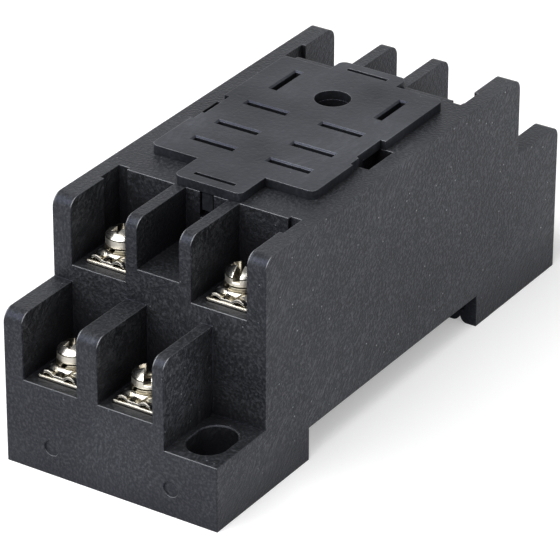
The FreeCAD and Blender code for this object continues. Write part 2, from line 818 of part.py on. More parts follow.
def latch_spring():
    coil = doc.addObject("Part::Helix", "coil_path")
    coil_length = size["spring_length"] - size["spring_wire"] - size["latch_play"]
    bind(coil, "Pitch", coil_length / size["spring_turns"])
    bind(coil, "Height", coil_length)
    bind(coil, "Radius", size["spring_radius"])
    wire = doc.addObject("Part::RegularPolygon", "coil_wire")
    wire.Polygon = 4
    bind(wire, "Circumradius", size["spring_wire"] / 2)
    wire.Placement = Placement(Vector(number(size["spring_radius"]), 0, 0), Rotation(Vector(1, 0, 0), 90))
    wire.setExpression("Placement.Base.x", size["spring_radius"].text)
    spring = doc.addObject("Part::Sweep", "latch_spring")
    spring.Label = "latch_spring"
    spring.Sections = [wire]
    spring.Spine = (coil, [])
    spring.Solid = True
    spring.Frenet = True
    height = size["latch_lower_height"] + size["latch_upper_height"] + size["latch_play"] + size["latch_lift"]
    y = latch_spring_start() + size["spring_wire"] / 2 + size["latch_play"] / 2
    z = height + size["spring_pocket_height"] / 2
    x = size["spring_pocket_offset"]
    along_y = Rotation(Vector(1, 0, 0), -90)
    spring.Placement = Placement(Vector(x.value, y.value, z.value), along_y)
    for target, length in (("x", x), ("y", y), ("z", z)):
        spring.setExpression(f"Placement.Base.{target}", length.text)
    return spring


# Terminals. Each piece is drawn about its screw's axis, with the strip's top at height 0
# and the inside of the socket towards +Y, and is then turned to its end of the body.

def turned(terminal):
    return 0 if terminal.end < 0 else 180


def terminal_strip(terminal):
    body = new_body(f"terminal_strip_{terminal.name}")
    half_plate = size["strip_width"] / 2
    half_tongue = size["tongue_width"] / 2
    front = size["lip_wall"] + size["strip_play"] - size["screw_place"]
    wall = size["tier_depth"] - size["screw_place"] - size["strip_play"]
    tongue = (terminal.tongue_x - terminal.x) * -terminal.end
    tip = (terminal.y - terminal.contact_y) * terminal.end + half_tongue
    blank = sketch_on(body, "XY_Plane", -size["strip_thickness"])
    outline(blank, strip_outline(half_plate, half_tongue, tongue, front, wall, tip))
    pad(body, blank, size["strip_thickness"])
    collar = sketch_on(body, "XY_Plane", -size["strip_thickness"])
    half_collar = size["collar_width"] / 2
    rectangle(collar, -half_collar, -half_collar, half_collar, half_collar)
    pad(body, collar, size["collar_height"], True)
    bore = sketch_on(body, "XY_Plane")
    circle(bore, zero(), zero(), size["screw_shank"] + size["screw_fit"])
    pocket(body, bore, size["strip_thickness"] + size["collar_height"])
    place(body, terminal.x, terminal.y, terminal.strip_top, turned(terminal))
    return body


def strip_outline(half_plate, half_tongue, tongue, front, wall, tip):
    # Screw plate with a tongue that leaves its inner edge. A tongue in line with one side
    # of the plate has no step on that side.
    low = tongue - half_tongue
    high = tongue + half_tongue
    corners = [(-half_plate, front), (half_plate, front)]
    if abs(high.value - half_plate.value) > 0.001:
        corners += [(half_plate, wall), (high, wall)]
    corners += [(high, tip), (low, tip)]
    if abs(low.value + half_plate.value) > 0.001:
        corners += [(low, wall), (-half_plate, wall)]
    return corners


def saddle_clamp(terminal):
    # Bent sheet: flat in the middle, with an arched wing to each side that traps a wire.
    body = new_body(f"saddle_clamp_{terminal.name}")
    half = size["clamp_width"] / 2
    flat = size["clamp_flat"] / 2
    arch = size["clamp_arch"]
    thick = size["clamp_thickness"]
    span = half - flat
    crown = flat + span / 2
    ease = span / 6
    right = [
        (flat, zero()), (crown - ease, arch), (crown + ease, arch), (half, zero()),
        (half, thick * 0.7), (crown + ease, thick + arch), (crown - ease, thick + arch), (flat, thick),
    ]
    left = [(-x, z) for x, z in reversed(right)]
    half_depth = size["clamp_length"] / 2
    profile = sketch_on(body, "XZ_Plane", -half_depth)
    outline(profile, right + left)
    pad(body, profile, size["clamp_length"])
    bore = sketch_on(body, "XY_Plane", thick + arch + clearance)
    circle(bore, zero(), zero(), size["clamp_hole"])
    pocket(body, bore, thick + arch + clearance * 2)
    place(body, terminal.x, terminal.y, terminal.strip_top, turned(terminal))
    return body


def washer_seat():
    return size["clamp_thickness"] + size["clamp_arch"]


def spring_washer(terminal):
    # Split ring, with the split on the side that faces out to the front left.
    body = new_body(f"spring_washer_{terminal.name}")
    ring = sketch_on(body, "XY_Plane", washer_seat())
    outline(ring, facets(size["washer_width"] / 2, 16))
    outline(ring, facets(size["washer_hole"] / 2, 12))
    pad(body, ring, size["washer_thickness"])
    split = sketch_on(body, "XZ_Plane", size["washer_width"] / 2)
    gap = size["washer_gap"] / 2
    slant = size["washer_thickness"] / 2
    low = washer_seat() - clearance / 10
    high = washer_seat() + size["washer_thickness"] + clearance / 10
    outline(split, [(-gap - slant, low), (gap - slant, low), (gap + slant, high), (slant - gap, high)])
    pocket(body, split, size["washer_width"] / 2)
    place(body, terminal.x, terminal.y, terminal.strip_top, turned(terminal) + terminal.drive_angle / 3 - 60)
    return body


def terminal_screw(terminal):
    # Screw with a domed head whose drive is a full slot crossed by a short one.
    body = new_body(f"terminal_screw_{terminal.name}")
    shank = size["screw_shank"] / 2
    head = size["head_width"] / 2
    seat = washer_seat() + size["washer_thickness"]
    rim = seat + size["head_side"]
    crest = rim + size["head_dome"]
    tip = seat - size["screw_length"]
    shaft = sketch_on(body, "XY_Plane", tip)
    outline(shaft, facets(shank, 12))
    pad(body, shaft, size["screw_length"])
    side = sketch_on(body, "XY_Plane", seat)
    outline(side, facets(head, 16))
    pad(body, side, size["head_side"])
    rings = []
    for part_way, share in ((0, 1.0), (0.55, 0.84), (1, 0.46)):
        level = rim + size["head_dome"] * part_way
        ring = sketch_on(body, "XY_Plane", level)
        outline(ring, facets(head * share, 16))
        rings.append(ring)
    dome = body.newObject("PartDesign::AdditiveLoft", "Dome")
    dome.Profile = rings[0]
    dome.Sections = rings[1:]
    dome.Ruled = True
    settle(body, dome, 1)
    drive = sketch_on(body, "XY_Plane", crest)
    half_drive = size["drive_width"] / 2
    rectangle(drive, -head - clearance, -half_drive, head + clearance, half_drive)
    pocket(body, drive, size["drive_depth"])
    cross = sketch_on(body, "XY_Plane", crest)
    half_cross = size["cross_length"] / 2
    rectangle(cross, -half_drive, -half_cross, half_drive, half_cross)
    pocket(body, cross, size["drive_depth"])
    place(body, terminal.x, terminal.y, terminal.strip_top, terminal.drive_angle)
    return body


def contact(terminal):
    # Spring clip whose two arms pinch the relay's blade, on a tail down to a lower strip.
    body = new_body(f"contact_{terminal.name}")
    sheet_half = size["contact_sheet"]
    base = size["contact_base"] / 2
    throat = size["contact_throat"] / 2
    mouth = size["contact_mouth"] / 2
    right = [
        (base, zero()), (base, size["contact_shoulder"]), (throat + sheet_half, size["contact_pinch"]),
        (mouth + sheet_half, size["contact_height"]), (mouth, size["contact_height"]),
        (throat, size["contact_pinch"]), (base - sheet_half, size["contact_shoulder"]),
        (base - sheet_half, sheet_half),
    ]
    left = [(-y, z) for y, z in reversed(right)]
    half_wide = size["contact_width"] / 2
    if terminal.coil:
        profile = sketch_on(body, "XZ_Plane", -half_wide)
    else:
        profile = sketch_on(body, "YZ_Plane", -half_wide)
    outline(profile, right + left)
    pad(body, profile, size["contact_width"])
    if not terminal.upper:
        tail = sketch_on(body, "XY_Plane")
        half_tail = size["tongue_width"] / 2
        half_sheet = size["contact_tail"] / 2
        middle = terminal.tongue_x - terminal.contact_x
        rectangle(tail, middle - half_tail, -half_sheet, middle + half_tail, half_sheet)
        pad(body, tail, upper_strip_top - lower_strip_top, True)
    place(body, terminal.contact_x, terminal.contact_y, upper_strip_top)
    return body


parts = [housing(), relay_plate(), rail_latch(), latch_spring()]
for terminal in TERMINALS:
    parts.append(terminal_strip(terminal))
    parts.append(saddle_clamp(terminal))
    parts.append(spring_washer(terminal))
    parts.append(terminal_screw(terminal))
    parts.append(contact(terminal))
doc.recompute()

for item in doc.Objects:
    if "Invalid" in item.State or "Error" in item.State:
        raise RuntimeError(f"{item.Label} failed: {item.State}")
for part in parts:
    if part.Shape.isNull() or not part.Shape.isValid():
        raise RuntimeError(f"{part.Label} has no valid shape")

os.makedirs("parts", exist_ok=True)
for part in parts:
    part.Shape.exportStep(f"parts/{part.Label}.step")
    print(part.Label, len(part.Shape.Solids), round(part.Shape.Volume, 2))
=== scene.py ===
import bpy
import bmesh
import json
import math
from mathutils import Matrix, Vector


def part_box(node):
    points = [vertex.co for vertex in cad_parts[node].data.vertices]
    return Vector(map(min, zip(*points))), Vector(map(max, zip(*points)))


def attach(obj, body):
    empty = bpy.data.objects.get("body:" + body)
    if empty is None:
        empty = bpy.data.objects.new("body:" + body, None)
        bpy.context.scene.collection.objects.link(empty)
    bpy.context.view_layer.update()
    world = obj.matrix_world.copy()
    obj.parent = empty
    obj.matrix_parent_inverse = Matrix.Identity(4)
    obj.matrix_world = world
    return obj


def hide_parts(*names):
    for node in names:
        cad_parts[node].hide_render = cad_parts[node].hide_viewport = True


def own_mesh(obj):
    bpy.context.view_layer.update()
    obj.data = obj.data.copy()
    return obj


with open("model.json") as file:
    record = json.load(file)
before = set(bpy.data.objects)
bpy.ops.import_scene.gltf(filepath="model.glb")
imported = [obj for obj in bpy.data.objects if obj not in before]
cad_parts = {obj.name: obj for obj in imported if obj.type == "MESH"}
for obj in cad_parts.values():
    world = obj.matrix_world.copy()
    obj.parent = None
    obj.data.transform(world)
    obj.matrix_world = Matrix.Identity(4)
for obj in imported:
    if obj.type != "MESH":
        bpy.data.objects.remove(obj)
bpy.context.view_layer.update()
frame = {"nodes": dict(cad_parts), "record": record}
mm = 0.001
nodes = frame["nodes"]
print("frame loaded:", len(nodes), "nodes")


# colours and nodes

def linear(hexColour):  # sRGB hex to the linear values that sockets take
    values = []
    for start in (1, 3, 5):
        part = int(hexColour[start:start + 2], 16) / 255
        values.append(part / 12.92 if part <= 0.04045 else ((part + 0.055) / 1.055) ** 2.4)
    return (*values, 1.0)


def addNode(tree, kind, inputs=None, **settings):
    # inputs: socket name or number to a value or another socket
    node = tree.nodes.new(kind)
    for name, value in settings.items():
        setattr(node, name, value)
    for name, value in (inputs or {}).items():
        if isinstance(value, bpy.types.NodeSocket):
            tree.links.new(value, node.inputs[name])
        else:
            node.inputs[name].default_value = value
    return node


def newMaterial(name):
    material = bpy.data.materials.new(name)
    material.use_nodes = True
    material.node_tree.nodes.clear()
    return material, material.node_tree


# the stage: camera, light tent and floor

stage = {
    "cameraPlace": (0.21831, -0.33922, 0.22917),  # metres
    "cameraAim": (-0.47819, 0.73735, -0.47713),
    "cameraUp": (-0.26201, 0.39876, 0.87883),
    "lens": 260.15,  # mm
    "sensor": 36.0,
    "clipStart": 0.01,
    "tentColour": "#ffffff",
    "tentFill": 0.25,  # how strongly the tent lights surfaces
    "roofGlow": 0.22,  # the tent's roof is open, so metal that looks up reflects a dim room
    "roofStart": 0.7,  # height on a sphere of radius 1 where the tent starts to dim
    "roofFull": 0.88,
    "floorSize": 1.5,
    "floorColour": "#e4e4e4",
    "floorGlow": 0.35,  # brings the floor to white for the camera
    "floorMirrored": 0.17,  # the same in reflections
    "keyPlace": (-0.35, -0.42, 0.58),
    "keyAim": (-0.35, 0.0, 0.0),  # straight back, so its top edge is level across the front
    "keySize": (1.15, 0.5),
    "keyWatts": 9.5,
    "topPlace": (0.45, 0.05, 0.60),
    "topAim": (0.0, 0.0, 0.015),
    "topSize": (0.5, 0.5),
    "topWatts": 1.2,
}


def makeCamera():
    aim = Vector(stage["cameraAim"]).normalized()
    up = Vector(stage["cameraUp"])
    side = aim.cross(up).normalized()
    up = side.cross(aim)
    turn = Matrix((side, up, -aim)).transposed()
    data = bpy.data.cameras.new("camera")
    data.lens = stage["lens"]
    data.sensor_width = stage["sensor"]
    data.clip_start = stage["clipStart"]
    camera = bpy.data.objects.new("camera", data)
    camera.matrix_world = Matrix.Translation(stage["cameraPlace"]) @ turn.to_4x4()
    bpy.context.scene.collection.objects.link(camera)
    bpy.context.scene.camera = camera


def makeLamp(name, place, aim, size, watts):
    data = bpy.data.lights.new(name, "AREA")
    data.shape = "RECTANGLE"
    data.size, data.size_y = size
    data.energy = watts
    lamp = bpy.data.objects.new(name, data)
    towards = (Vector(aim) - Vector(place)).normalized()
    turn = towards.to_track_quat("-Z", "Y").to_matrix().to_4x4()
    lamp.matrix_world = Matrix.Translation(place) @ turn
    bpy.context.scene.collection.objects.link(lamp)


def seenDirectly(tree):  # 1 for camera, glossy and transmission rays
    rays = addNode(tree, "ShaderNodeLightPath").outputs
    glossy = addNode(tree, "ShaderNodeMath", {
        0: rays["Is Camera Ray"], 1: rays["Is Glossy Ray"]}, operation="MAXIMUM")
    return addNode(tree, "ShaderNodeMath", {
        0: glossy.outputs[0], 1: rays["Is Transmission Ray"]}, operation="MAXIMUM").outputs[0]


def makeTent():
    world = bpy.data.worlds.new("lightTent")
    world.use_nodes = True
    tree = world.node_tree
    tree.nodes.clear()
    plain = addNode(tree, "ShaderNodeMapRange", {
        "Value": seenDirectly(tree), "To Min": stage["tentFill"], "To Max": 1.0})
    place = addNode(tree, "ShaderNodeTexCoord").outputs["Generated"]
    height = addNode(tree, "ShaderNodeSeparateXYZ", {0: place})
    mirrored = addNode(tree, "ShaderNodeMapRange", {
        "Value": height.outputs["Z"], "From Min": stage["roofStart"], "From Max": stage["roofFull"],
        "To Min": 1.0, "To Max": stage["roofGlow"]})
    glossy = addNode(tree, "ShaderNodeLightPath").outputs["Is Glossy Ray"]
    strength = addNode(tree, "ShaderNodeMix", {
        0: glossy, 2: plain.outputs[0], 3: mirrored.outputs[0]})
    sky = addNode(tree, "ShaderNodeBackground", {
        "Color": linear(stage["tentColour"]), "Strength": strength.outputs[0]})
    addNode(tree, "ShaderNodeOutputWorld", {"Surface": sky.outputs[0]})
    bpy.context.scene.world = world


def makeFloor():
    mesh = bpy.data.meshes.new("floor")
    build = bmesh.new()
    bmesh.ops.create_grid(build, x_segments=1, y_segments=1, size=stage["floorSize"])
    build.to_mesh(mesh)
    build.free()
    floor = bpy.data.objects.new("floor", mesh)
    bpy.context.scene.collection.objects.link(floor)
    material, tree = newMaterial("floorPaper")  # matt white paper: it keeps a soft shadow
    paper = addNode(tree, "ShaderNodeBsdfPrincipled", {
        "Base Color": linear(stage["floorColour"]), "Roughness": 0.9, "Specular IOR Level": 0.0})
    mirrored = addNode(tree, "ShaderNodeMath", {
        0: seenDirectly(tree), 1: stage["floorMirrored"]}, operation="MULTIPLY")
    camera = addNode(tree, "ShaderNodeLightPath").outputs["Is Camera Ray"]
    strength = addNode(tree, "ShaderNodeMix", {
        0: camera, 2: mirrored.outputs[0], 3: stage["floorGlow"]})
    glow = addNode(tree, "ShaderNodeEmission", {"Strength": strength.outputs[0]})
    both = addNode(tree, "ShaderNodeAddShader", {0: paper.outputs[0], 1: glow.outputs[0]})
    addNode(tree, "ShaderNodeOutputMaterial", {"Surface": both.outputs[0]})
    mesh.materials.append(material)


makeCamera()
makeTent()
makeFloor()
for lamp in ("key", "top"):
    makeLamp(lamp, stage[lamp + "Place"], stage[lamp + "Aim"], stage[lamp + "Size"],
             stage[lamp + "Watts"])
bpy.context.scene.view_settings.view_transform = "Standard"
print("stage made")


# moulded plastics

# Glass-filled PBT, injection moulded: nearly black, and most of its charcoal tone is the
# white surroundings in its satin skin. Glass fibres lie along the flow as faint light streaks.
housingFinish = {
    "colour": "#202122",
    "fibreColour": "#414245",
    "sideFibreSheen": "#5c5e62",  # fibres on the long outer sides are painted lighter, standing in for the sheen they catch at a grazing view
    "hollowShade": "#151517",  # painted shade deep in slots and compartments
    "hollowReach": 7.0,  # mm
    "cloud": 0.3,  # how much slow patches change the colour
    "speckColour": "#b4b6b9",
    "speckFront": 0.2,  # share of that colour on faces that aren't long sides; on the long sides the specks are painted at full colour, standing in for their glints
    "speckSpacing": 1.0,
    "speckSize": 0.2,
    "speckShare": 0.16,
    "speckRise": 0.4,  # how far a speck stands out, as a share of the bump
    "edgeHighlightColour": "#999b9e",  # painted highlight along the top edges of front faces, where the key lamp glints on their rounding
    "edgeHighlightWidth": 0.16,
    "edgeHighlightElsewhere": 0.12,  # share of that on edges that face another way
    "gloss": "#d0d8ff",  # the skin's reflection leans to blue
    "roughness": 0.4,
    "lean": 0.75,  # how the flow turns from upright, in radians
    "swirl": 5.0,  # mm; flow lines wander, so slow noise pushes them about
    "swirlSize": 9.0,
    "streakWidth": 0.15,  # over a pixel of the photograph, so finer fibres are drawn this coarse
    "streakLength": 0.55,
    "grain": 0.17,
    "driftSize": 11.0,  # the skin shows fibres in some drifts and plain grain in others
    "leastFibres": 0.2,
    "mostFibres": 0.65,
    "bump": 0.13,  # mm between the skin's lows and highs
    "edgeRound": 0.18,
}

# The plate is the same plastic from a smoother tool: a little bluer, with faint swirls.
plateFinish = dict(
    housingFinish, colour="#27292c", fibreColour="#3a3c41", cloud=0.7, speckShare=0.03,
    roughness=0.37, lean=1.4, swirl=6.0, streakWidth=0.3, streakLength=1.8, grain=0.22,
    bump=0.05, edgeRound=0.1)

# The latch is too small for many specks, and its flow runs along it.
latchFinish = dict(housingFinish, speckShare=0.01, lean=1.5, swirl=2.0, streakLength=1.0)


def slowDrift(tree, finish, place):
    return addNode(tree, "ShaderNodeTexNoise", {
        "Vector": place, "Scale": 1 / (finish["driftSize"] * mm), "Detail": 2.0}).outputs[0]


def fibresAndGrain(tree, finish, place, drift):
    wander = addNode(tree, "ShaderNodeTexNoise", {
        "Vector": place, "Scale": 1 / (finish["swirlSize"] * mm), "Detail": 1.0})
    push = addNode(tree, "ShaderNodeVectorMath", {
        0: wander.outputs["Color"], 1: (0.5, 0.5, 0.5)}, operation="SUBTRACT")
    far = addNode(tree, "ShaderNodeVectorMath", {
        0: push.outputs[0], "Scale": finish["swirl"] * mm}, operation="SCALE")
    flowing = addNode(tree, "ShaderNodeVectorMath", {0: place, 1: far.outputs[0]}, operation="ADD")
    turned = addNode(tree, "ShaderNodeMapping", {
        "Vector": flowing.outputs[0], "Rotation": (finish["lean"], 0.0, 0.0)})
    across = 1 / (finish["streakWidth"] * mm)
    along = 1 / (finish["streakLength"] * mm)
    stretched = addNode(tree, "ShaderNodeMapping", {
        "Vector": turned.outputs[0], "Scale": (across, across, along)})
    fibres = addNode(tree, "ShaderNodeTexNoise", {
        "Vector": stretched.outputs[0], "Scale": 0.5, "Detail": 3.0, "Roughness": 0.65})
    grain = addNode(tree, "ShaderNodeTexNoise", {
        "Vector": place, "Scale": 0.5 / (finish["grain"] * mm), "Detail": 2.0, "Roughness": 0.55})
    share = addNode(tree, "ShaderNodeMapRange", {
        "Value": drift, "From Min": 0.42, "From Max": 0.58,
        "To Min": finish["leastFibres"], "To Max": finish["mostFibres"]})
    return addNode(tree, "ShaderNodeMix", {
        0: share.outputs[0], 2: grain.outputs[0], 3: fibres.outputs[0]}).outputs[0]


# the long sides take the painted sheen on fibres and specks
def outerLongSide(tree, openness):  # 1 on the two outer long sides, 0 elsewhere
    normal = addNode(tree, "ShaderNodeNewGeometry").outputs["Normal"]
    facing = addNode(tree, "ShaderNodeSeparateXYZ", {0: normal})
    sideways = addNode(tree, "ShaderNodeMath", {0: facing.outputs["X"]}, operation="ABSOLUTE")
    outside = addNode(tree, "ShaderNodeMapRange", {
        "Value": openness, "From Min": 0.75, "From Max": 0.92})
    both = addNode(tree, "ShaderNodeMath", {
        0: sideways.outputs[0], 1: outside.outputs[0]}, operation="MULTIPLY")
    return addNode(tree, "ShaderNodeMapRange", {
        "Value": both.outputs[0], "From Min": 0.5, "From Max": 0.9}).outputs[0]


def glassSpecks(tree, finish, place):  # round dots in a few cells of a pattern
    cells = addNode(tree, "ShaderNodeTexVoronoi", {
        "Vector": place, "Scale": 1 / (finish["speckSpacing"] * mm)})
    chosen = addNode(tree, "ShaderNodeSeparateColor", {0: cells.outputs["Color"]})
    rare = addNode(tree, "ShaderNodeMath", {
        0: chosen.outputs[0], 1: 1 - finish["speckShare"]}, operation="GREATER_THAN")
    radius = finish["speckSize"] / finish["speckSpacing"] / 2
    dot = addNode(tree, "ShaderNodeMapRange", {
        "Value": cells.outputs["Distance"], "From Min": radius * 1.3, "From Max": radius * 0.7})
    return addNode(tree, "ShaderNodeMath", {
        0: rare.outputs[0], 1: dot.outputs[0]}, operation="MULTIPLY").outputs[0]


def paintedEdgeHighlights(tree, finish, rounded):
    # painted highlight along outer edges that face up and to the front: a point near an outer edge
    # sees the other face close by on its inside
    inner = addNode(tree, "ShaderNodeAmbientOcclusion", {"Distance": finish["edgeHighlightWidth"] * mm},
                    samples=8, inside=True, only_local=True)
    outerEdge = addNode(tree, "ShaderNodeMapRange", {
        "Value": inner.outputs["AO"], "From Min": 0.97, "From Max": 0.6})
    facing = addNode(tree, "ShaderNodeSeparateXYZ", {0: rounded})
    upward = addNode(tree, "ShaderNodeMapRange", {
        "Value": facing.outputs["Z"], "From Min": 0.25, "From Max": 0.6})
    forward = addNode(tree, "ShaderNodeMapRange", {
        "Value": facing.outputs["Y"], "From Min": -0.1, "From Max": -0.4,
        "To Min": finish["edgeHighlightElsewhere"]})
    topEdge = addNode(tree, "ShaderNodeMath", {
        0: outerEdge.outputs[0], 1: upward.outputs[0]}, operation="MULTIPLY")
    return addNode(tree, "ShaderNodeMath", {
        0: topEdge.outputs[0], 1: forward.outputs[0]}, operation="MULTIPLY").outputs[0]


def mouldedPlastic(name, finish):
    material, tree = newMaterial(name)
    place = addNode(tree, "ShaderNodeTexCoord").outputs["Object"]
    around = addNode(tree, "ShaderNodeAmbientOcclusion", {
        "Distance": finish["hollowReach"] * mm}, samples=8).outputs["AO"]
    rounded = addNode(tree, "ShaderNodeBevel", {
        "Radius": finish["edgeRound"] * mm}, samples=6).outputs[0]
    drift = slowDrift(tree, finish, place)
    pattern = fibresAndGrain(tree, finish, place, drift)
    longSide = outerLongSide(tree, around)
    speck = glassSpecks(tree, finish, place)
    # glass shows lighter than the plastic, and on the long sides it is painted lighter still as
    # sheen
    fibreAndSheen = addNode(tree, "ShaderNodeMix", {
        0: longSide, 6: linear(finish["fibreColour"]), 7: linear(finish["sideFibreSheen"])},
        data_type="RGBA")
    amount = addNode(tree, "ShaderNodeMapRange", {
        "Value": pattern, "From Min": 0.46, "From Max": 0.7})
    tone = addNode(tree, "ShaderNodeMix", {
        0: amount.outputs[0], 6: linear(finish["colour"]), 7: fibreAndSheen.outputs[2]}, data_type="RGBA")
    # specks are painted brighter on the long sides, as glints, and fainter elsewhere
    seen = addNode(tree, "ShaderNodeMapRange", {"Value": longSide, "To Min": finish["speckFront"]})
    speckAndGlint = addNode(tree, "ShaderNodeMath", {0: speck, 1: seen.outputs[0]}, operation="MULTIPLY")
    dusted = addNode(tree, "ShaderNodeMix", {
        0: speckAndGlint.outputs[0], 6: tone.outputs[2], 7: linear(finish["speckColour"])},
        data_type="RGBA")
    # the painted edge highlight goes into the colour
    edgeHighlighted = addNode(tree, "ShaderNodeMix", {
        0: paintedEdgeHighlights(tree, finish, rounded), 6: dusted.outputs[2],
        7: linear(finish["edgeHighlightColour"])}, data_type="RGBA")
    # slow patches, then painted shade in hollows, which darkens the colour where the surroundings
    # close in
    patch = addNode(tree, "ShaderNodeMapRange", {
        "Value": drift, "From Min": 0.3, "From Max": 0.7,
        "To Min": 1 - finish["cloud"], "To Max": 1 + finish["cloud"]})
    patched = addNode(tree, "ShaderNodeVectorMath", {
        0: edgeHighlighted.outputs[2], "Scale": patch.outputs[0]}, operation="SCALE")
    # how open a point is: closed-in points take the painted hollow shade
    openness = addNode(tree, "ShaderNodeMapRange", {
        "Value": around, "From Min": 0.25, "From Max": 0.75})
    colour = addNode(tree, "ShaderNodeMix", {
        0: openness.outputs[0], 6: linear(finish["hollowShade"]), 7: patched.outputs[0]},
        data_type="RGBA")
    rough = addNode(tree, "ShaderNodeMapRange", {
        "Value": pattern, "From Min": 0.3, "From Max": 0.7,
        "To Min": finish["roughness"] - 0.06, "To Max": finish["roughness"] + 0.1})
    lump = addNode(tree, "ShaderNodeMath", {
        0: speck, 1: finish["speckRise"], 2: pattern}, operation="MULTIPLY_ADD")
    skin = addNode(tree, "ShaderNodeBump", {
        "Strength": 1.0, "Distance": finish["bump"] * mm, "Height": lump.outputs[0],
        "Normal": rounded})
    plastic = addNode(tree, "ShaderNodeBsdfPrincipled", {
        "Base Color": colour.outputs[2], "Roughness": rough.outputs[0], "IOR": 1.5,
        "Specular IOR Level": 0.25, "Specular Tint": linear(finish["gloss"]),
        "Normal": skin.outputs[0]})
    addNode(tree, "ShaderNodeOutputMaterial", {"Surface": plastic.outputs[0]})
    return material


# plated metals

# Nickel on steel, barrel plated: bright, slightly warm, with soft dents from tumbling.
screwFinish = {
    "colour": "#d6d2c9",
    "stain": "#a39c8e",
    "stainSize": 1.3,  # mm
    "stainShare": 0.55,
    "roughness": 0.22,
    "dentSize": 0.7,
    "dentDepth": 0.005,
    "bump": 0.5,
    "edgeRound": 0.04,
}
# The side of the head is turned, which leaves it satin.
turnedFinish = dict(screwFinish, roughness=0.42, dentSize=0.25, dentDepth=0.004)
# Where the driver has slipped, the plating has gone brown and dull.
driveFinish = dict(screwFinish, colour="#7b7568", stain="#464036", roughness=0.3, dentSize=0.3,
                   dentDepth=0.02)
# Pressed sheet keeps the gloss of its roll, with wider dents.
clampFinish = dict(screwFinish, colour="#d4d0c6", roughness=0.14, dentSize=1.0, dentDepth=0.01,
                   edgeRound=0.12)
# Hardened spring wire under thin nickel: dark and patchy.
washerFinish = dict(screwFinish, colour="#868072", stain="#544d3f", roughness=0.3, dentSize=0.5,
                    edgeRound=0.08)
# Nickel on brass: a little yellower than on steel.
stripFinish = dict(screwFinish, colour="#cdc8bc", stain="#978e7b", roughness=0.2, dentSize=1.2,
                   dentDepth=0.01, edgeRound=0.35)
# Tinned bronze: soft grey, and stained brown.
contactFinish = dict(screwFinish, colour="#b9b4a8", stain="#776d58", roughness=0.34, dentSize=1.0,
                     dentDepth=0.01)
# Drawn spring steel: neutral grey.
springFinish = dict(screwFinish, colour="#a8a8a6", stain="#5f5d58", roughness=0.3, dentSize=0.4)


def platedMetal(name, finish):
    material, tree = newMaterial(name)
    place = addNode(tree, "ShaderNodeTexCoord").outputs["Object"]
    cloud = addNode(tree, "ShaderNodeTexNoise", {
        "Vector": place, "Scale": 1 / (finish["stainSize"] * mm), "Detail": 4.0, "Roughness": 0.6})
    amount = addNode(tree, "ShaderNodeMapRange", {
        "Value": cloud.outputs[0], "From Min": 0.52, "From Max": 0.75,
        "To Max": finish["stainShare"]})
    colour = addNode(tree, "ShaderNodeMix", {
        0: amount.outputs[0], 6: linear(finish["colour"]), 7: linear(finish["stain"])},
        data_type="RGBA")
    rough = addNode(tree, "ShaderNodeMapRange", {
        "Value": cloud.outputs[0], "From Min": 0.35, "From Max": 0.7,
        "To Min": finish["roughness"] - 0.04, "To Max": finish["roughness"] + 0.1})
    dents = addNode(tree, "ShaderNodeTexNoise", {
        "Vector": place, "Scale": 1 / (finish["dentSize"] * mm), "Detail": 1.5})
    rounded = addNode(tree, "ShaderNodeBevel", {"Radius": finish["edgeRound"] * mm}, samples=6)
    skin = addNode(tree, "ShaderNodeBump", {
        "Strength": finish["bump"], "Distance": finish["dentDepth"] * mm,
        "Height": dents.outputs[0], "Normal": rounded.outputs[0]})
    metal = addNode(tree, "ShaderNodeBsdfPrincipled", {
        "Base Color": colour.outputs[2], "Metallic": 1.0, "Roughness": rough.outputs[0],
        "Normal": skin.outputs[0]})
    addNode(tree, "ShaderNodeOutputMaterial", {"Surface": metal.outputs[0]})
    return material


materials = {
    "housing_plastic": mouldedPlastic("mouldedPbt", housingFinish),
    "plate_plastic": mouldedPlastic("smoothMouldedPbt", plateFinish),
    "latch_plastic": mouldedPlastic("latchPbt", latchFinish),
    "screw_nickel": platedMetal("brightNickel", screwFinish),
    "worn_drive": platedMetal("wornNickel", driveFinish),
    "turned_side": platedMetal("satinNickel", turnedFinish),
    "clamp_nickel": platedMetal("pressedNickel", clampFinish),
    "washer_nickel": platedMetal("springNickel", washerFinish),
    "strip_nickel": platedMetal("nickelOnBrass", stripFinish),
    "contact_tin": platedMetal("tinnedBronze", contactFinish),
    "spring_steel": platedMetal("drawnSteel", springFinish),
}
for entry in frame["record"]["subparts"]:
    for slot in nodes[entry["node"]].material_slots:
        slot.material = materials[entry["material_slot"]]
print("materials made:", len(materials))


# mesh helpers: lengths are in mm until smoothMesh

def smoothMesh(name, points, faces, sharpAngle=35):
    mesh = bpy.data.meshes.new(name)
    mesh.from_pydata([Vector(point) * mm for point in points], [], faces)
    build = bmesh.new()
    build.from_mesh(mesh)
    bmesh.ops.recalc_face_normals(build, faces=build.faces)
    build.to_mesh(mesh)
    build.free()
    mesh.polygons.foreach_set("use_smooth", [True] * len(mesh.polygons))
    mesh.set_sharp_from_angle(angle=math.radians(sharpAngle))
    return mesh


def gridFaces(rows, columns):  # quads between rows of points, each row a closed ring
    return [(row * columns + i, row * columns + (i + 1) % columns,
             (row + 1) * columns + (i + 1) % columns, (row + 1) * columns + i)
            for row in range(rows - 1) for i in range(columns)]


def ringPoints(radius, height, steps):
    turns = [2 * math.pi * i / steps for i in range(steps)]
    return [(radius * math.cos(turn), radius * math.sin(turn), height) for turn in turns]


def endFaces(rows, columns):  # close the first and last ring of a grid
    last = (rows - 1) * columns
    return [tuple(reversed(range(columns))), tuple(last + i for i in range(columns))]


def cornerArc(centreR, centreZ, radius, start, end, steps):  # angles in degrees
    turns = [math.radians(start + (end - start) * i / steps) for i in range(steps + 1)]
    return [(centreR + radius * math.cos(turn), centreZ + radius * math.sin(turn))
            for turn in turns]


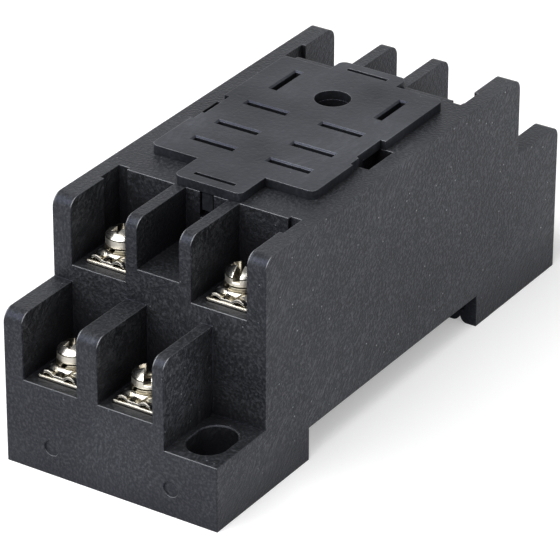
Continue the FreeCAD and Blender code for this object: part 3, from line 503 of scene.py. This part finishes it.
def cutAway(mesh, cutters):  # takes closed cutter meshes out of a closed mesh
    scene = bpy.context.scene.collection
    block = bpy.data.objects.new("block", mesh)
    scene.objects.link(block)
    tools = []
    for cutter in cutters:
        tool = bpy.data.objects.new("tool", cutter)
        scene.objects.link(tool)
        cut = block.modifiers.new("cut", "BOOLEAN")
        cut.operation, cut.solver, cut.object = "DIFFERENCE", "EXACT", tool
        tools.append(tool)
    seen = block.evaluated_get(bpy.context.evaluated_depsgraph_get())
    shaped = bpy.data.meshes.new_from_object(seen)
    for thing in [block, *tools]:
        bpy.data.objects.remove(thing)
    return shaped


def joined(name, meshes):
    build = bmesh.new()
    for mesh in meshes:
        build.from_mesh(mesh)
    whole = bpy.data.meshes.new(name)
    build.to_mesh(whole)
    build.free()
    return whole


def addPiece(name, mesh, place, turn, body, node, slotName):
    mesh = mesh.copy()
    mesh.transform(Matrix.Translation(place) @ Matrix.Rotation(math.radians(turn), 4, "Z"))
    mesh.materials.append(materials[slotName])
    if max(face.material_index for face in mesh.polygons):  # screws have two more finishes
        mesh.materials.append(materials["worn_drive"])
        mesh.materials.append(materials["turned_side"])
    piece = bpy.data.objects.new(name, mesh)
    bpy.context.scene.collection.objects.link(piece)
    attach(piece, body)
    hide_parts(node)
    return piece


# terminal screws: pan head with a combined drive, and a rolled M2.5 thread

screwShape = {
    "headRadius": 1.95,  # mm
    "headUnder": 1.4,  # above the strip
    "headSide": 1.05,
    "underFlat": 0.25,  # the flat underside ends this far in
    "underRound": 0.12,
    "domeHeight": 0.95,
    "domeSteps": 14,
    "rimRound": 0.05,
    "rimDrop": 0.02,
    "groove": 0.12,  # thin dark line where the dome was struck
    "grooveDepth": 0.16,
    "axis": 0.02,  # radius of the head's end faces
    "headSteps": 72,
    "slotWidth": 0.85,
    "slotDepth": 1.45,
    "crossTop": 2.7,
    "crossFloor": 1.1,
    "crossDrop": 0.2,  # below the slot's floor
    "threadOuter": 1.22,
    "threadPitch": 0.45,
    "threadDepth": 0.24,
    "threadFlank": 0.42,  # half the groove's width, as a share of the pitch
    "plainShank": 0.35,
    "runOut": 0.3,
    "tipLength": 0.5,
    "tipTaper": 0.3,
    "length": 5.0,
    "threadSteps": 36,
    "turnSteps": 8,
}


def headProfile(radius, under, rim, dome, ball):
    shape = screwShape
    corner, groove, rimRound = shape["underRound"], shape["groove"], shape["rimRound"]
    waist = radius - shape["grooveDepth"]
    spread = math.degrees(math.asin(radius / ball))
    steps = shape["domeSteps"]
    arc = [math.radians(spread * (1 - i / steps)) for i in range(1, steps)]
    profile = [(shape["axis"], under), (radius - shape["underFlat"], under)]
    profile += cornerArc(radius - corner, under + corner, corner, -90, 0, 4)
    profile += [(radius, rim - groove * 1.4), (waist, rim - groove), (waist, rim - groove * 0.5)]
    profile += cornerArc(radius - rimRound, rim - shape["rimDrop"], rimRound, -40, 40, 4)
    profile += [(ball * math.sin(a), rim + dome - ball + ball * math.cos(a)) for a in arc]
    return profile + [(shape["axis"], rim + dome)]


def prism(name, lower, upper, low, high):
    # closed block between two rectangles: half widths and half lengths below and above
    signs = ((-1, -1), (1, -1), (1, 1), (-1, 1))
    points = [(signX * x, signY * y, z)
              for (x, y), z in ((lower, low), (upper, high)) for signX, signY in signs]
    sides = [(0, 3, 2, 1), (4, 5, 6, 7), (0, 1, 5, 4), (1, 2, 6, 5), (2, 3, 7, 6), (3, 0, 4, 7)]
    return smoothMesh(name, points, sides)


def screwHead():
    shape = screwShape
    radius, under, dome = shape["headRadius"], shape["headUnder"], shape["domeHeight"]
    rim = under + shape["headSide"]
    ball = (radius ** 2 + dome ** 2) / (2 * dome)  # radius of the sphere that the dome is part of
    profile = headProfile(radius, under, rim, dome, ball)
    points = [point for r, z in profile for point in ringPoints(r, z, shape["headSteps"])]
    faces = gridFaces(len(profile), shape["headSteps"])
    faces += endFaces(len(profile), shape["headSteps"])
    head = smoothMesh("screwHead", points, faces)
    over = 0.5  # the cutters stand out this far
    top, floor = rim + dome + over, rim + dome - shape["slotDepth"]
    half, long = shape["slotWidth"] / 2, radius + over
    wide, narrow = shape["crossTop"] / 2, shape["crossFloor"] / 2
    flare = wide + (wide - narrow) * over / shape["slotDepth"]
    slot = prism("slot", (long, half), (long, half), floor, top)
    cross = prism("cross", (half, narrow), (half, flare), floor - shape["crossDrop"], top)
    head = cutAway(head, [slot, cross])
    # the drive's faces lie below the dome and take the worn finish, the side takes the satin one
    driveEdge, driveFloor, belowDome = radius - 0.08, floor - 0.3, 0.05
    sideEdge, sideTop = radius - 0.2, rim - 0.1
    for face in head.polygons:
        away, high = math.hypot(face.center.x, face.center.y) / mm, face.center.z / mm
        skin = rim + dome - ball + math.sqrt(ball ** 2 - min(away, radius) ** 2)
        if away < driveEdge and driveFloor < high < skin - belowDome:
            face.material_index = 1
        elif away > sideEdge and high < sideTop:
            face.material_index = 2
    return head


def screwThread():
    shape = screwShape
    steps, pitch = shape["threadSteps"], shape["threadPitch"]
    tip, under = shape["headUnder"] - shape["length"], shape["headUnder"]
    climb = pitch / shape["turnSteps"]
    rows = int((under - tip) / climb) + 1
    points = []
    for row in range(rows):
        z = tip + row * climb
        fade = min(1.0, max(0.0, (under - shape["plainShank"] - z) / shape["runOut"]))
        taper = max(0.0, 1 - (z - tip) / shape["tipLength"]) * shape["tipTaper"]
        for i in range(steps):
            phase = (z / pitch - i / steps) % 1
            groove = max(0.0, 1 - abs(phase - 0.5) / shape["threadFlank"])
            r = shape["threadOuter"] - shape["threadDepth"] * groove * fade - taper
            turn = 2 * math.pi * i / steps
            points.append((r * math.cos(turn), r * math.sin(turn), z))
    faces = gridFaces(rows, steps) + endFaces(rows, steps)
    return smoothMesh("screwThread", points, faces, sharpAngle=50)


# split spring washer: one turn of squared wire that climbs a little, with slanted ends

washerShape = {
    "inner": 1.33,  # mm
    "outer": 2.05,
    "lift": 0.8,  # above the strip
    "wire": 0.5,
    "climb": 0.1,
    "corner": 0.1,
    "gap": 0.5,
    "slant": 0.55,
    "steps": 84,
}


def springWasher():
    shape = washerShape
    middle = (shape["inner"] + shape["outer"]) / 2
    halfWide, halfHigh = (shape["outer"] - shape["inner"]) / 2, shape["wire"] / 2
    corner, steps = shape["corner"], shape["steps"]
    section = []
    for signX, signZ, start in ((1, -1, -90), (1, 1, 0), (-1, 1, 90), (-1, -1, 180)):
        section += cornerArc(signX * (halfWide - corner), signZ * (halfHigh - corner), corner,
                             start, start + 90, 3)
    halfGap = shape["gap"] / 2 / middle
    points = []
    for row in range(steps + 1):
        part = row / steps
        turn = -math.pi / 2 + halfGap + part * (2 * math.pi - 2 * halfGap)
        level = shape["lift"] + halfHigh + shape["climb"] * part
        for across, up in section:
            slanted = turn + shape["slant"] * up / middle
            r = middle + across
            points.append((r * math.cos(slanted), r * math.sin(slanted), level + up))
    count = len(section)
    faces = gridFaces(steps + 1, count) + endFaces(steps + 1, count)
    return smoothMesh("springWasher", points, [tuple(reversed(face)) for face in faces])


# saddle clamp: pressed sheet, flat along the middle, with a wing to each side that arches
# over a wire

clampShape = {
    "halfWidth": 2.25,  # mm
    "halfLength": 3.2,
    "sheet": 0.35,
    "arch": 0.45,
    "flat": 0.65,
    "corner": 0.35,
    "hole": 1.4,
    "gap": 0.04,
    "beadPlace": 2.5,  # a shallow bead across each wing, near its front and back edge
    "beadWidth": 0.35,
    "beadDepth": 0.5,  # share of the arch
    "seat": 1.7,  # level seat for the washer, half its length
    "shoulder": 0.35,  # rounded edge of the seat
    "slope": 0.7,
    "steps": 240,
    "rings": 26,
}


def clampUnderside(x, y):  # height of the sheet's underside over the strip
    shape = clampShape
    halfWidth, flat = shape["halfWidth"], shape["flat"]
    crown, reach = (flat + halfWidth) / 2, (halfWidth - flat) / 2
    rise = 1 - ((abs(x) - crown) / reach) ** 2
    beadAway = (abs(y) - shape["beadPlace"]) / shape["beadWidth"]
    bead = shape["beadDepth"] * math.exp(-beadAway ** 2)
    wing = shape["arch"] * max(0.0, rise) * (1 - bead)
    if abs(x) <= flat:
        wing = shape["gap"] * (1 - abs(x) / flat)
    side = min(1.0, max(0.0, (halfWidth - abs(x)) / shape["shoulder"]))
    away = min(1.0, max(0.0, (abs(y) - shape["seat"]) / shape["slope"]))
    seat = shape["arch"] * math.sqrt(side * (2 - side)) * (1 - away * away * (3 - 2 * away))
    return max(wing, seat)


def clampBorder(turn):  # point of the sheet's rounded outline in one direction
    shape = clampShape
    halfWidth, halfLength, corner = shape["halfWidth"], shape["halfLength"], shape["corner"]
    dx, dy = math.cos(turn), math.sin(turn)
    reach = min(halfWidth / max(abs(dx), 1e-9), halfLength / max(abs(dy), 1e-9))
    x, y = dx * reach, dy * reach
    overX, overY = abs(x) - (halfWidth - corner), abs(y) - (halfLength - corner)
    if overX > 0 and overY > 0:
        size = math.hypot(overX, overY)
        x = math.copysign(halfWidth - corner + overX / size * corner, x)
        y = math.copysign(halfLength - corner + overY / size * corner, y)
    return x, y


def saddleClamp():
    shape = clampShape
    steps, rings = shape["steps"], shape["rings"]
    points = []
    for ring in range(rings):
        part = ring / (rings - 1)
        for i in range(steps):
            turn = 2 * math.pi * i / steps
            x1, y1 = clampBorder(turn)
            x0, y0 = shape["hole"] * math.cos(turn), shape["hole"] * math.sin(turn)
            x, y = x0 + (x1 - x0) * part, y0 + (y1 - y0) * part
            points.append((x, y, clampUnderside(x, y)))
    top = [(x, y, z + shape["sheet"]) for x, y, z in points]
    count = len(points)
    under = gridFaces(rings, steps)
    faces = [tuple(count + i for i in face) for face in under]
    faces += [tuple(reversed(face)) for face in under]
    last = (rings - 1) * steps
    for i in range(steps):
        j = (i + 1) % steps
        faces.append((last + i, last + j, count + last + j, count + last + i))
        faces.append((j, i, count + i, count + j))
    return smoothMesh("saddleClamp", points + top, faces)


driveAngles = {  # degrees; the front ones as in the photograph
    "front_upper_left": 167, "front_upper_right": 100,
    "front_lower_left": 172, "front_lower_right": 117,
    "rear_upper_left": 20, "rear_upper_right": 75,
    "rear_lower_left": 150, "rear_lower_right": 5,
}
screwMesh = joined("terminalScrew", [screwHead(), screwThread()])
washerMesh = springWasher()
clampMesh = saddleClamp()
for name, angle in driveAngles.items():
    low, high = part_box(f"terminal_screw_{name}")
    middle = (low + high) / 2
    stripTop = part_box(f"terminal_strip_{name}")[1].z
    place = Vector((middle.x, middle.y, stripTop))
    facing = 0 if name.startswith("front") else 180
    washerTurn = facing + angle / 3 - 60  # each washer's gap lies its own way
    addPiece(f"slottedScrew_{name}", screwMesh, place, angle, f"screw_{name}",
             f"terminal_screw_{name}", "screw_nickel")
    addPiece(f"splitWasher_{name}", washerMesh, place, washerTurn, f"clamp_{name}",
             f"spring_washer_{name}", "washer_nickel")
    addPiece(f"archedClamp_{name}", clampMesh, place, facing, f"clamp_{name}",
             f"saddle_clamp_{name}", "clamp_nickel")
print("terminals made:", len(driveAngles))


# return spring of the rail latch, which the latch shortens in use: drawn wire with closed ends,
# built here at rest

coilShape = {
    "wire": 0.4,  # mm
    "turns": 6,
    "closed": 0.8,  # turns at each end that touch the next one
    "travel": 3.0,  # of the latch, towards the spring's rear end
    "turnSteps": 28,
    "wireSteps": 10,
}


def coilSpring(low, high):
    shape = coilShape
    wire = shape["wire"] / 2
    centre = (low + high) / 2 / mm
    radius = (high.x - low.x) / 2 / mm - wire
    start, length = low.y / mm + wire, (high.y - low.y) / mm - 2 * wire
    perTurn, around = shape["turnSteps"], shape["wireSteps"]
    openTurns = shape["turns"] - 2 * shape["closed"]
    openPitch = (length - 2 * shape["closed"] * shape["wire"]) / openTurns
    points, along = [], 0.0
    rows = shape["turns"] * perTurn + 1
    for row in range(rows):
        turn = 2 * math.pi * row / perTurn
        for i in range(around):
            side = 2 * math.pi * i / around
            reach = radius + wire * math.cos(side)
            points.append((centre.x + reach * math.cos(turn), start + along + wire * math.sin(side),
                           centre.z + reach * math.sin(turn)))
        done = (row + 0.5) / perTurn
        atEnd = done < shape["closed"] or done > shape["turns"] - shape["closed"]
        along += (shape["wire"] if atEnd else openPitch) / perTurn
    faces = gridFaces(rows, around)
    faces += [tuple(reversed(face)) for face in endFaces(rows, around)]
    return smoothMesh("coilSpring", points, faces, sharpAngle=60)


springLow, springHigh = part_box("latch_spring")
coil = addPiece("returnSpring", coilSpring(springLow, springHigh), Vector((0, 0, 0)), 0, "housing",
                "latch_spring", "spring_steel")
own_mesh(coil)
print("spring made:", coilShape["turns"], "turns")
